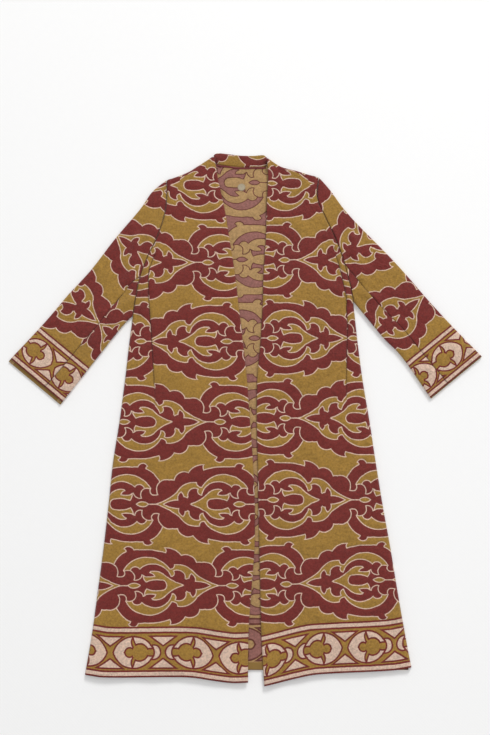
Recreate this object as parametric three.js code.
// A quilted, open-fronted coat with long set-in sleeves, laid flat on its back. Millimetres.
// +X is to the viewer's right, +Y runs from the hem to the collar and +Z is up off the surface.
// The sizes are written in the laying-out frame, whose Y is 0 at about hip height.
// The finished coat is moved so that its origin is under the middle of its box.
import * as THREE from 'three';

// Cloth and layers
const CLOTH = 3.0; // quilted cloth, face to reverse
const AIR = 3.2; // between the back and the panels that lie on it
const SEAM = 0.3; // between pieces that are sewn together
const TRIM = 1.2; // turned-up strips and the neck binding
const LABEL = { radius: 9.5, thick: 0.7, x: -11, y: 577 };
const UNDER = CLOTH + AIR; // height of the upper panels' reverse
const TOP = UNDER + CLOTH; // height of the upper panels' face
const ROLL = 6; // reach of the soft fold where an upper panel turns down to the back
const FACING = { wide: 16, hang: 1.2 }; // the front edge's turned-in strip
const SEAM_DIP = 1.1; // how far the quilting is drawn in along a seam

// Quilting: rows of drop-shaped medallions, each a raised heart inside a raised band
const QUILT = { row: 195, period: 222, rise: 1.3, centre: 80, long: 88, wide: 60, rings: 1.25 };

// Mesh steps
const STEP = { row: 19.5, shoulder: 7, sleeve: 21 };
const COUNT = { armhole: 17, back: 13, panel: 11 };

// Where the piece lies in the laying-out frame
const MIDDLE = { x: -1.65, y: 24.05 };

// The body, section by section from hem to shoulder: where each edge crosses.
// From the underarm up, the sides are the armhole seams.
const BODY = [
  { y: -620, leftSide: -374, leftEdge: 4.5, rightEdge: 43, rightSide: 384 },
  { y: -500, leftSide: -356.8, leftEdge: 5.8, rightEdge: 35.3, rightSide: 367.8 },
  { y: -400, leftSide: -345, leftEdge: 12.6, rightEdge: 33, rightSide: 352.7 },
  { y: -300, leftSide: -333.5, leftEdge: 20, rightEdge: 31, rightSide: 338 },
  { y: -200, leftSide: -323.7, leftEdge: 20.8, rightEdge: 28.8, rightSide: 321.8 },
  { y: -100, leftSide: -315, leftEdge: 16.5, rightEdge: 27.4, rightSide: 307.4 },
  { y: 0, leftSide: -301, leftEdge: 9.4, rightEdge: 25.2, rightSide: 294 },
  { y: 100, leftSide: -289.5, leftEdge: 2.2, rightEdge: 26.9, rightSide: 279 },
  { y: 200, leftSide: -279.6, leftEdge: -8.5, rightEdge: 35.5, rightSide: 267.8 },
  { y: 290, leftSide: -267.5, leftEdge: -19, rightEdge: 40.5, rightSide: 259 },
  { y: 345, leftSide: -258, leftEdge: -25, rightEdge: 41.8, rightSide: 248.5 },
  { y: 400, leftSide: -239, leftEdge: -33, rightEdge: 45, rightSide: 234 },
  { y: 450, leftSide: -216, leftEdge: -41, rightEdge: 48.5, rightSide: 216 },
  { y: 500, leftSide: -200.5, leftEdge: -48.5, rightEdge: 50, rightSide: 194 },
  { y: 550, leftSide: -193.8, leftEdge: -58.5, rightEdge: 51.5, rightSide: 174.5 },
  { y: 602, leftSide: -195.4, leftEdge: -69.5, rightEdge: 54.2, rightSide: 178.4 },
  { y: 640, leftSide: -195.4, leftEdge: -75.5, rightEdge: 51.5, rightSide: 178.4 },
  { y: 665, leftSide: -195.4, leftEdge: -73, rightEdge: 43.5, rightSide: 178.4 },
];

// The shoulder lines, from the tip to the neck
const SHOULDER = [
  { y: 592, left: -199, right: 206 },
  { y: 601.2, left: -176.5, right: 178.4 },
  { y: 610, left: -154.5, right: 151 },
  { y: 618, left: -138.5, right: 127 },
  { y: 626, left: -126.5, right: 95.5 },
  { y: 635, left: -113, right: 77 },
  { y: 645, left: -97.5, right: 62 },
  { y: 656, left: -81.5, right: 46 },
];

// The long dart in each front, from the armhole down, with how deep it draws in
const DART = [
  { y: -620, left: -262, right: 268, depth: 0 },
  { y: -200, left: -238, right: 248, depth: 0 },
  { y: 30, left: -216.5, right: 240.5, depth: 0 },
  { y: 90, left: -219.5, right: 240, depth: 1 },
  { y: 194, left: -226.5, right: 243, depth: 1.6 },
  { y: 330, left: -236, right: 247, depth: 1.8 },
  { y: 398, left: -229, right: 226, depth: 1.8 },
  { y: 480, left: -190, right: 188, depth: 0 },
  { y: 602, left: -160, right: 150, depth: 0 },
];

// The fronts' hem, from the side (across 0) to the opening (across 1)
const HEM = [
  { across: 0, left: -590.5, right: -573.7 },
  { across: 0.12, left: -596.5, right: -580.5 },
  { across: 0.5, left: -595.8, right: -587 },
  { across: 0.66, left: -597, right: -590.5 },
  { across: 0.78, left: -603.5, right: -598.5 },
  { across: 0.9, left: -609, right: -608.5 },
  { across: 1, left: -608.2, right: -616.5 },
];
const HEM_START = -430; // above this the rows run straight across
const BACK_HEM = -580;

// Each sleeve's two long edges, from the armhole to the cuff
const SLEEVE_EDGES = {
  left: {
    outer: [[-195.4, 593.5], [-230, 563.5], [-259.5, 519], [-317, 447.6], [-376, 367], [-431, 304],
      [-477, 246.6], [-522.8, 194], [-564.4, 148]],
    inner: [[-272.6, 253], [-296, 229], [-357, 150], [-397, 97], [-437.6, 43.3]],
  },
  right: {
    outer: [[178.4, 601.2], [205.6, 569], [237, 523.5], [275, 478.6], [343, 406.6], [390, 353],
      [445, 286.4], [503.4, 220.3], [564.9, 154.8]],
    inner: [[259.2, 288.6], [289, 251], [331, 198.4], [365, 163.4], [394, 124], [440, 52.9]],
  },
};
const SLEEVE_SEAM = { armhole: 0.71, cuff: 0.66, depth: 1.7 }; // share of the way to the inner edge
const CUFF_LIP = { left: 8, right: 2 }; // how far the lower layer shows past the upper one
const EASE = 0.9; // between the sleeve's even stations and the armhole's, so that none touch
const TURN_UP = 18; // width of the turned-up strips at the hem and the cuffs

// The neck: the seam under the collar and the collar's top edge, from left to right
const NECK = [
  { across: 0, seamX: -77.5, seamY: 651, topX: -79.5, topY: 660 },
  { across: 0.06, seamX: -73.5, seamY: 638, topX: -72, topY: 664.5 },
  { across: 0.25, seamX: -46, seamY: 632.5, topX: -46, topY: 662.5 },
  { across: 0.5, seamX: -11, seamY: 628.5, topX: -13, topY: 658.5 },
  { across: 0.75, seamX: 24, seamY: 629.5, topX: 20, topY: 658 },
  { across: 0.94, seamX: 50, seamY: 631, topX: 44, topY: 659.5 },
  { across: 1, seamX: 52.5, seamY: 641, topX: 51.5, topY: 653.5 },
];
// The top of the back: shoulder seams either side of the neck seam
const BACK_TOP = [
  { x: -186, y: 594 }, { x: -150, y: 607 }, { x: -115, y: 628 }, { x: -84, y: 644 },
  { x: -75.5, y: 636.5 }, { x: -60, y: 633.4 }, { x: -36, y: 630.3 }, { x: -11, y: 627.6 },
  { x: 14, y: 627.8 }, { x: 36, y: 628.9 }, { x: 49, y: 629.6 }, { x: 57, y: 638 },
  { x: 82, y: 627 }, { x: 128, y: 614 }, { x: 172, y: 599 },
];
const COLLAR = { thick: 4.2, curl: 1, curlReach: 0.12 };
const BINDING = 4.6;

// The largest soft folds of the upper cloth: a ridge from one point to the other
const FOLDS = [
  { x0: -252, y0: 268, x1: -222, y1: 415, wide: 13, rise: 3.2 },
  { x0: -262, y0: 300, x1: -330, y1: 262, wide: 12, rise: 2.6 },
  { x0: -214, y0: 470, x1: -262, y1: 400, wide: 14, rise: 2.2 },
  { x0: -150, y0: 300, x1: -60, y1: 250, wide: 16, rise: 1.4 },
  { x0: -62, y0: 20, x1: -20, y1: -70, wide: 13, rise: 1.6 },
  { x0: -120, y0: -250, x1: -40, y1: -330, wide: 16, rise: 1.8 },
  { x0: -230, y0: -360, x1: -130, y1: -420, wide: 18, rise: 1.4 },
  { x0: 244, y0: 300, x1: 222, y1: 420, wide: 13, rise: 3.2 },
  { x0: 250, y0: 330, x1: 318, y1: 300, wide: 12, rise: 2.6 },
  { x0: 205, y0: 470, x1: 252, y1: 410, wide: 14, rise: 2.0 },
  { x0: 92, y0: 150, x1: 168, y1: 70, wide: 15, rise: 1.8 },
  { x0: 185, y0: -60, x1: 255, y1: -130, wide: 17, rise: 1.5 },
  { x0: 80, y0: -120, x1: 140, y1: -210, wide: 15, rise: 1.7 },
  { x0: 150, y0: -400, x1: 240, y1: -470, wide: 18, rise: 1.4 },
  { x0: -420, y0: 300, x1: -360, y1: 190, wide: 14, rise: 1.8 },
  { x0: 420, y0: 290, x1: 372, y1: 190, wide: 14, rise: 1.8 },
];
const HEM_WAVE = { length: 118, rise: 1.4, reach: 120 };

const SIDES = {
  left: { inward: 1, shoulderTip: 593.5, underarm: 253, neck: 652 },
  right: { inward: -1, shoulderTip: 601.2, underarm: 288.6, neck: 647 },
};

const COLOURS = { face: 0x8d5a3c, reverse: 0xa8825a, trim: 0x8a7440, binding: 0x8f2f3f, label: 0xd9cdb8 };

const lerp = THREE.MathUtils.lerp;
const clamp = THREE.MathUtils.clamp;
const smoothstep = THREE.MathUtils.smoothstep;

// A smooth curve through one column of a table, read along another column
function column(table, key, value) {
  const x = table.map((row) => row[key]);
  const y = table.map((row) => row[value]);
  const slope = x.map((_, i) => {
    const a = Math.max(i - 1, 0);
    const b = Math.min(i + 1, x.length - 1);
    return (y[b] - y[a]) / (x[b] - x[a]);
  });
  return (at) => {
    const p = clamp(at, x[0], x[x.length - 1]);
    let i = 0;
    while (i < x.length - 2 && p > x[i + 1]) i += 1;
    const h = x[i + 1] - x[i];
    const t = (p - x[i]) / h;
    const curl = (a, b) => (1 - t) * (1 - t) * t * a + (t - 1) * t * t * b;
    return lerp(y[i], y[i + 1], t * t * (3 - 2 * t)) + h * curl(slope[i], slope[i + 1]);
  };
}

// A stretch split into equal parts, both ends included
function split(from, to, count) {
  return Array.from({ length: count + 1 }, (_, i) => lerp(from, to, i / count));
}

// A stretch split into parts of about one size
function steps(from, to, size) {
  return split(from, to, Math.max(1, Math.round(Math.abs(to - from) / size)));
}

// Every second entry of a list, and always its two ends
const sparser = (list) => list.filter((_, i) => i % 2 === 0 || i === list.length - 1);

// Height of the quilting's puffs. u runs along a row of medallions and v across the rows;
// every second row points the other way and lies half a medallion along.
function quilt(u, v) {
  const row = Math.round(v / QUILT.row);
  const turned = row % 2 === 0 ? 1 : -1;
  const start = turned * u - QUILT.centre + QUILT.period * 0.5;
  const along = THREE.MathUtils.euclideanModulo(start, QUILT.period) - QUILT.period * 0.5;
  const across = v - row * QUILT.row;
  const ring = Math.hypot(along / QUILT.long, across / QUILT.wide);
  return QUILT.rise * Math.sqrt(Math.abs(Math.cos(Math.PI * QUILT.rings * ring)));
}

// Height that the soft folds add at a place
function folds(x, y) {
  const p = new THREE.Vector3(x, y, 0);
  const near = new THREE.Vector3();
  const ridge = new THREE.Line3();
  return FOLDS.reduce((sum, fold) => {
    ridge.start.set(fold.x0, fold.y0, 0);
    ridge.end.set(fold.x1, fold.y1, 0);
    ridge.closestPointToPoint(p, true, near);
    const away = p.distanceTo(near) / fold.wide;
    return sum + fold.rise * Math.exp(-away * away);
  }, 0);
}

// Triangles of one piece of cloth, gathered point by point
class Cloth {
  constructor() {
    this.points = [];
    this.faces = [];
  }

  // Adds a grid of points, rows of columns, and gives back its numbers
  grid(rows) {
    return rows.map((row) => row.map((p) => this.points.push(p) - 1));
  }

  // Covers a grid with triangles. Each row may close on itself, as round a tube.
  skin(rows, { turned = false, round = false } = {}) {
    for (let r = 0; r < rows.length - 1; r += 1) {
      const last = rows[r].length - (round ? 0 : 1);
      for (let c = 0; c < last; c += 1) {
        const d = (c + 1) % rows[r].length;
        this.face(rows[r][c], rows[r][d], rows[r + 1][d], turned);
        this.face(rows[r][c], rows[r + 1][d], rows[r + 1][c], turned);
      }
    }
  }

  // Joins two lines of points that start and end side by side, always by the shorter diagonal
  join(a, b, turned = false) {
    const apart = (m, n) => Math.hypot(...this.points[m].map((v, k) => v - this.points[n][k]));
    let i = 0;
    let j = 0;
    while (i < a.length - 1 || j < b.length - 1) {
      const canA = i < a.length - 1;
      const canB = j < b.length - 1;
      if (canA && (!canB || apart(a[i + 1], b[j]) <= apart(a[i], b[j + 1]))) {
        this.face(a[i], a[i + 1], b[j], turned);
        i += 1;
      } else {
        this.face(a[i], b[j + 1], b[j], turned);
        j += 1;
      }
    }
  }

  face(a, b, c, turned) {
    this.faces.push(...(turned ? [a, c, b] : [a, b, c]));
  }

  mesh(name, colour, roughness = 0.9) {
    const geometry = new THREE.BufferGeometry();
    geometry.setAttribute('position', new THREE.Float32BufferAttribute(this.points.flat(), 3));
    geometry.setIndex(this.faces);
    geometry.computeVertexNormals();
    const material = new THREE.MeshStandardMaterial({ color: colour, roughness, metalness: 0 });
    const piece = new THREE.Mesh(geometry, material);
    piece.name = name;
    return piece;
  }
}

// A wall between a face grid and a reverse grid with the same outline. The face looks up when
// its columns run to the right and its rows run up; turned is for columns that run to the left.
function wall(face, reverse, turned = false) {
  const cloth = new Cloth();
  const f = cloth.grid(face);
  const r = cloth.grid(reverse);
  cloth.skin(f, { turned });
  cloth.skin(r, { turned: !turned });
  const end = (rows) => rows.map((row) => row[row.length - 1]);
  const start = (rows) => rows.map((row) => row[0]);
  cloth.join(f[0], r[0], !turned);
  cloth.join(f[f.length - 1], r[r.length - 1], turned);
  cloth.join(start(f), start(r), turned);
  cloth.join(end(f), end(r), !turned);
  return cloth;
}

// A tube's wall between a ring of face points and a ring of reverse points at each station
function tube(face, reverse, turned = false) {
  const cloth = new Cloth();
  const f = cloth.grid(face);
  const r = cloth.grid(reverse);
  cloth.skin(f, { turned, round: true });
  cloth.skin(r, { turned: !turned, round: true });
  const ring = (row) => [...row, row[0]];
  cloth.join(ring(f[0]), ring(r[0]), !turned);
  cloth.join(ring(f[f.length - 1]), ring(r[r.length - 1]), turned);
  return cloth;
}

const sideX = { left: column(BODY, 'y', 'leftSide'), right: column(BODY, 'y', 'rightSide') };
const edgeX = { left: column(BODY, 'y', 'leftEdge'), right: column(BODY, 'y', 'rightEdge') };
const shoulderX = { left: column(SHOULDER, 'y', 'left'), right: column(SHOULDER, 'y', 'right') };
const dartX = { left: column(DART, 'y', 'left'), right: column(DART, 'y', 'right') };
const dartDepth = column(DART, 'y', 'depth');
const hemY = { left: column(HEM, 'across', 'left'), right: column(HEM, 'across', 'right') };

// How far a section is turned down to the back: 1 at the side and shoulder, 0 at the armhole
function turnDown(side, y) {
  const { shoulderTip, underarm } = SIDES[side];
  return y < underarm
    ? 1 - smoothstep(y, underarm - STEP.row, underarm - 1)
    : smoothstep(y, shoulderTip, shoulderTip + STEP.shoulder);
}

function outerX(side, y) {
  return y > SIDES[side].shoulderTip ? shoulderX[side](y) : sideX[side](y);
}

// A row of the body above the hem's reach runs straight; below it, it bends to the hem's line
function hemBend(side, y, across) {
  const bend = clamp((HEM_START - y) / (HEM_START - -600), 0, 1);
  return y + (hemY[side](across) - -600) * bend * bend;
}

// The sections of a front: below the underarm, along the armhole and along the shoulder
function sections(side) {
  const { shoulderTip, underarm, neck } = SIDES[side];
  return {
    skirt: steps(-600, underarm - STEP.row, STEP.row),
    armhole: split(underarm - 1, shoulderTip, COUNT.armhole),
    shoulder: steps(shoulderTip + STEP.shoulder, neck, STEP.shoulder),
  };
}

// One front: a single panel with its dart, its turned-in front edge and its soft side fold
function front(side) {
  const { inward, shoulderTip } = SIDES[side];
  const { skirt, armhole, shoulder } = sections(side);
  const rows = [...skirt, ...armhole, ...shoulder];
  const rowLine = (x, y) => quilt(inward * x + 0.04 * y - 33, y - 5);

  // Distances from the outer edge, with the height drop of each, for one section
  const profile = (y) => {
    const outer = outerX(side, y) + inward * SEAM * 0.5;
    const edge = edgeX[side](y);
    const wide = Math.abs(edge - outer);
    const slant = y > shoulderTip ? 2.05 : 1;
    const down = turnDown(side, y);
    const roll = Math.min(ROLL * slant, wide * 0.3);
    const dart = clamp(Math.abs(dartX[side](y) - outer), wide * 0.06 + roll, wide * 0.5);
    const groove = Math.min(6, wide * 0.04);
    const rim = Math.min(3, wide * 0.12);
    return { outer, wide, down, roll, dart, groove, rim };
  };

  const face = rows.map((y) => {
    const p = profile(y);
    const fade = y > 405 ? 0 : dartDepth(y);
    const nearHem = smoothstep(y, -600, -592);
    const out = [
      { d: p.down * 1.2, z: lerp(UNDER + 1, 0, p.down) },
      { d: lerp(0.5, 0, p.down), z: lerp(TOP - SEAM_DIP, 3.4, p.down) },
      { d: p.roll * 0.3, z: TOP - lerp(SEAM_DIP * 0.5, 1.9, p.down) },
      { d: p.roll, z: TOP, soft: 0.4 },
    ];
    const inner = (from, to, count) => split(from, to, count).slice(1, -1)
      .map((d) => ({ d, z: TOP, soft: 1 }));
    out.push(...inner(p.roll, p.dart - p.groove, 2));
    out.push({ d: p.dart - p.groove, z: TOP, soft: 0.8 });
    out.push({ d: p.dart, z: TOP - fade, soft: 0 });
    out.push({ d: p.dart + p.groove, z: TOP, soft: 0.8 });
    out.push(...inner(p.dart + p.groove, p.wide - p.rim * 2, COUNT.panel));
    out.push({ d: p.wide - p.rim * 2, z: TOP, soft: 0.6 });
    out.push({ d: p.wide - p.rim * 0.35, z: TOP - 0.9, soft: 0 });
    out.push({ d: p.wide, z: TOP - 2.4, soft: 0 });
    return out.map(({ d, z, soft = 0 }) => {
      const x = p.outer + inward * d;
      const across = d / p.wide;
      const rise = soft * rowLine(x, y) + upper(x, y) * Math.min(1, z / TOP);
      const rounding = (1 - nearHem) * SEAM_DIP * (z > UNDER ? 1 : 0);
      return [x, hemBend(side, y, across), z + rise - rounding];
    });
  });

  const reverse = [...sparser(skirt), ...armhole, ...shoulder].map((y) => {
    const p = profile(y);
    const hang = UNDER - FACING.hang;
    const strip = Math.min(FACING.wide, p.wide * 0.3);
    const out = [
      { d: p.down * 3.6, z: lerp(UNDER, 0, p.down) },
      { d: lerp(2, 3, p.down), z: lerp(UNDER, 3.3, p.down) },
      { d: p.roll, z: UNDER },
    ];
    const mid = p.wide - strip - 1;
    out.push(...split(p.roll, mid, 6).slice(1, -1).map((d) => ({ d, z: UNDER })));
    out.push({ d: mid, z: UNDER });
    out.push({ d: p.wide - strip + 1, z: hang });
    out.push({ d: p.wide - p.rim * 0.4, z: hang });
    return out.map(({ d, z }) => {
      const x = p.outer + inward * d;
      const rise = upper(x, y) * Math.min(1, z / UNDER);
      return [x, hemBend(side, y, d / p.wide), z + rise];
    });
  });
  return wall(face, reverse, inward < 0).mesh(`front_${side}`, COLOURS.face);
}

// Height of the upper cloth over its flat lie: folds, and waves that grow towards the hem
function upper(x, y) {
  const near = clamp(1 - (y + 600) / HEM_WAVE.reach, 0, 1);
  const wave = 0.5 + 0.5 * Math.sin((x * 2 * Math.PI) / HEM_WAVE.length);
  return folds(x, y) + HEM_WAVE.rise * near * near * wave;
}

// The back: one panel, flat on the surface, cut to the shoulders and to the neck seam
function back() {
  const inset = (side, y) => {
    const { underarm } = SIDES[side];
    const corner = 1 - smoothstep(y, underarm, underarm + STEP.row);
    return Math.max(lerp(SEAM * 0.5, 4.3, turnDown(side, y)), 1.8 * corner);
  };
  const reach = (side, y) => sideX[side](y) + SIDES[side].inward * inset(side, y);
  const rows = (side) => {
    const { skirt, armhole } = sections(side);
    return [...split(BACK_HEM, skirt[skirt.length - 1], COUNT.back), ...armhole];
  };
  const right = rows('right');
  const first = BACK_TOP[0].x;
  const last = BACK_TOP[BACK_TOP.length - 1].x;
  const body = rows('left').map((y, i) => BACK_TOP.map(({ x }) => {
    const share = (x - first) / (last - first);
    return [lerp(reach('left', y), reach('right', right[i]), share), lerp(y, right[i], share)];
  }));
  const crown = BACK_TOP.map(({ x, y }) => [x, y]);
  const yoke = body[body.length - 1].map(([x, y], i) => [
    lerp(x, crown[i][0], 0.5), lerp(y, crown[i][1], 0.5),
  ]);
  const layer = (z) => [...body, yoke, crown].map((row) => row.map(([x, y]) => [x, y, z]));
  return wall(layer(CLOTH), layer(0)).mesh('back', COLOURS.reverse);
}

// One sleeve: a flattened tube from the armhole to the cuff, its long seam turned to the front
function sleevePlan(side) {
  const { inward, shoulderTip, underarm } = SIDES[side];
  const spline = (list) => new THREE.SplineCurve(list.map(([x, y]) => new THREE.Vector2(x, y)));
  const outer = spline(SLEEVE_EDGES[side].outer);
  const inner = spline(SLEEVE_EDGES[side].inner);
  const armhole = (t) => {
    const y = lerp(shoulderTip, underarm, t);
    return new THREE.Vector2(sideX[side](y), y);
  };
  const corners = [outer.getPointAt(0), inner.getPointAt(0), outer.getPointAt(1), inner.getPointAt(1)];
  const length = (outer.getLength() + inner.getLength()) / 2;
  const place = (s, t) => {
    const p = outer.getPointAt(s).multiplyScalar(1 - t).addScaledVector(inner.getPointAt(s), t);
    p.addScaledVector(armhole(t), 1 - s);
    p.addScaledVector(corners[2], s * (1 - t)).addScaledVector(corners[3], s * t);
    p.addScaledVector(corners[0], -(1 - s) * (1 - t)).addScaledVector(corners[1], -(1 - s) * t);
    p.addScaledVector(corners[2], -s * (1 - t)).addScaledVector(corners[3], -s * t);
    p.x -= inward * EASE * (1 - s);
    return p;
  };
  const width = (s) => outer.getPointAt(s).distanceTo(inner.getPointAt(s));
  const along = corners[2].clone().add(corners[3]).sub(corners[0]).sub(corners[1]).normalize();
  return { place, width, length, along };
}

function sleeve(side) {
  const { inward } = SIDES[side];
  const { place, width, length, along } = sleevePlan(side);
  const stations = [...steps(0, 1 - 4 / length, STEP.sleeve / length), 1];
  const half = TOP / 2;
  const round = half * Math.SQRT1_2;

  const faceRing = (s) => {
    const wide = width(s);
    const seam = lerp(SLEEVE_SEAM.armhole, SLEEVE_SEAM.cuff, s) * wide;
    const end = Math.max(smoothstep(s, 1 - 4 / length, 1), 1 - smoothstep(s, 0, 6 / length));
    const drop = SEAM_DIP * end;
    const top = (from, to, count) => split(from, to, count).slice(1, -1)
      .map((d) => ({ d, z: TOP - drop, soft: 1 - end }));
    return [
      { d: 0, z: half },
      { d: half - round, z: half + round - drop },
      { d: half, z: TOP - drop },
      ...top(half, seam - 6, 7),
      { d: seam - 6, z: TOP - drop, soft: 1 - end },
      { d: seam, z: TOP - SLEEVE_SEAM.depth, soft: 0 },
      { d: seam + 6, z: TOP - drop, soft: 1 - end },
      ...top(seam + 6, wide - half, 3),
      { d: wide - half, z: TOP - drop },
      { d: wide - half + round, z: half + round - drop },
      { d: wide, z: half },
      { d: wide - half + round, z: half - round, low: 1 },
      ...split(wide - half, half, 8).map((d) => ({ d, z: 0, low: 1 })),
      { d: half - round, z: half - round, low: 1 },
    ];
  };
  const reverseRing = (s) => {
    const wide = width(s);
    const mid = UNDER - AIR / 2;
    return [
      { d: CLOTH, z: mid },
      ...split(CLOTH + 1.6, wide - CLOTH - 1.6, 12).map((d) => ({ d, z: UNDER })),
      { d: wide - CLOTH, z: mid },
      ...split(wide - CLOTH - 1.6, CLOTH + 1.6, 8).map((d) => ({ d, z: CLOTH, low: 1 })),
    ];
  };
  const raise = (s, ring) => ring.map(({ d, z, soft = 0, low = 0 }) => {
    const p = place(s, d / width(s));
    const rise = soft * quilt(d - width(s) * 0.5, s * length + 40);
    const over = low ? 0 : upper(p.x, p.y) * Math.max(0, (z - half) / (TOP - half));
    const lip = low * CUFF_LIP[side] * smoothstep(s, 0.8, 1);
    return [p.x + along.x * lip, p.y + along.y * lip, z + rise + over];
  });
  const face = stations.map((s) => raise(s, faceRing(s)));
  const reverse = sparser(stations).map((s) => raise(s, reverseRing(s)));
  return tube(face, reverse, inward > 0).mesh(`sleeve_${side}`, COLOURS.face);
}

// A flat strip of trim between two lines, resting just over the cloth below it
function strip(name, near, far, base, thick, colour, turned = false) {
  const rows = (z) => [near, far].map((line) => line.map(([x, y]) => [x, y, z]));
  return wall(rows(base + thick), rows(base), turned).mesh(name, colour);
}

// The turned-up strip inside the lower layer of a cuff
function cuffTurnUp(side) {
  const { place, width, length, along } = sleevePlan(side);
  const line = (s) => steps(14, width(s) - 14, 20).map((d) => {
    const p = place(s, d / width(s));
    const lip = CUFF_LIP[side] * smoothstep(s, 0.8, 1) - 0.5;
    return [p.x + along.x * lip, p.y + along.y * lip];
  });
  const turned = SIDES[side].inward < 0;
  const start = line(1 - TURN_UP / length);
  const end = line(1);
  return strip(`cuff_turnup_${side}`, start, end, CLOTH + SEAM, TRIM, COLOURS.trim, !turned);
}

// The stand collar, lying back on the surface with both ends curling up to the fronts
function collar() {
  const read = (name) => column(NECK, 'across', name);
  const [seamX, seamY, topX, topY] = ['seamX', 'seamY', 'topX', 'topY'].map(read);
  const places = steps(0, 1, 1 / 22);
  const curl = (a) => COLLAR.curl * (1 - smoothstep(Math.min(a, 1 - a), 0, COLLAR.curlReach));
  const heights = [
    { up: 0, face: 0.6, reverse: 0 },
    { up: 0.12, face: 1, reverse: 0 },
    { up: 0.5, face: 1.06, reverse: 0 },
    { up: 0.88, face: 1, reverse: 0 },
    { up: 1, face: 0.6, reverse: 0.12 },
  ];
  const layer = (key) => heights.map((h) => places.map((a) => [
    lerp(seamX(a), topX(a), h.up),
    lerp(seamY(a), topY(a), h.up),
    h[key] * COLLAR.thick + curl(a) * (key === 'face' ? 0.2 : 0),
  ]));
  return wall(layer('face'), layer('reverse')).mesh('collar', COLOURS.face);
}

// The binding that covers the neck seam inside the back
function neckBinding() {
  const seamY = column(NECK, 'across', 'seamY');
  const seamX = column(NECK, 'across', 'seamX');
  const places = steps(0.07, 0.93, 0.05);
  const line = (drop) => places.map((a) => [seamX(a), seamY(a) - drop]);
  const low = line(SEAM + 0.6 + BINDING);
  return strip('neck_binding', low, line(SEAM + 0.6), CLOTH + SEAM, TRIM, COLOURS.binding);
}

function label() {
  const disc = new THREE.CylinderGeometry(LABEL.radius, LABEL.radius, LABEL.thick, 32);
  const cloth = new THREE.MeshStandardMaterial({ color: COLOURS.label, roughness: 0.7, metalness: 0 });
  const piece = new THREE.Mesh(disc, cloth);
  piece.name = 'neck_label';
  piece.rotation.x = Math.PI / 2;
  piece.position.set(LABEL.x, LABEL.y, CLOTH + SEAM + LABEL.thick / 2);
  return piece;
}

// The turned-up strip along the back's hem, seen between the fronts
function backHem() {
  const line = (y) => steps(sideX.left(y) + 14, sideX.right(y) - 14, 40).map((x) => [x, y]);
  const low = line(BACK_HEM + 0.6);
  const high = line(BACK_HEM + TURN_UP);
  return strip('hem_turnup_back', low, high, CLOTH + SEAM, TRIM, COLOURS.trim);
}

const coat = new THREE.Group();
coat.name = 'quilted_coat';
coat.add(back(), backHem(), neckBinding(), label(), collar());
for (const side of Object.keys(SIDES)) coat.add(front(side), sleeve(side), cuffTurnUp(side));
coat.position.set(-MIDDLE.x, -MIDDLE.y, 0);

export default coat;
